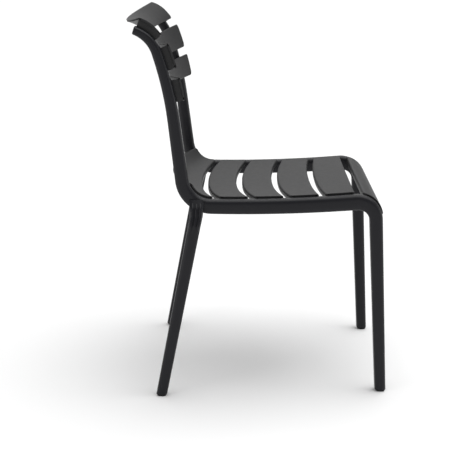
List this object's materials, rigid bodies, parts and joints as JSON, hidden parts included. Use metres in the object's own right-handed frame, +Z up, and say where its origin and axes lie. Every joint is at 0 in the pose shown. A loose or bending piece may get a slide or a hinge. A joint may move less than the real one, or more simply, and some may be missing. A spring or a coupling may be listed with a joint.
{
  "type": "stacking chair",
  "caption": "Armless stacking chair in dark moulded plastic, with bent side frames, raked rear legs, a slotted seat and a bowed slatted back.",
  "frame": {"origin": "on the floor, under the middle of the bounding box", "axes": "+Z up, the sitter faces -Y, the sitter's left is +X"},
  "size_m": [0.492, 0.5726, 0.817],
  "materials": {
    "frame_plastic": "fine satin grain, charcoal",
    "slat_plastic": "fine satin grain, charcoal",
    "glide_rubber": "matt black"
  },
  "bodies": {
    "root": {"side_frame_right": "frame_plastic", "side_frame_left": "frame_plastic", "rear_leg_right": "frame_plastic", "rear_leg_left": "frame_plastic", "seat_slat_1": "slat_plastic", "seat_slat_2": "slat_plastic", "seat_slat_3": "slat_plastic", "seat_slat_4": "slat_plastic", "seat_slat_5": "slat_plastic", "seat_slat_6": "slat_plastic", "back_slat_lower": "slat_plastic", "back_slat_middle": "slat_plastic", "back_slat_upper": "slat_plastic", "front_glide_right": "glide_rubber", "front_glide_left": "glide_rubber", "rear_glide_right": "glide_rubber", "rear_glide_left": "glide_rubber"}
  },
  "joints": []
}
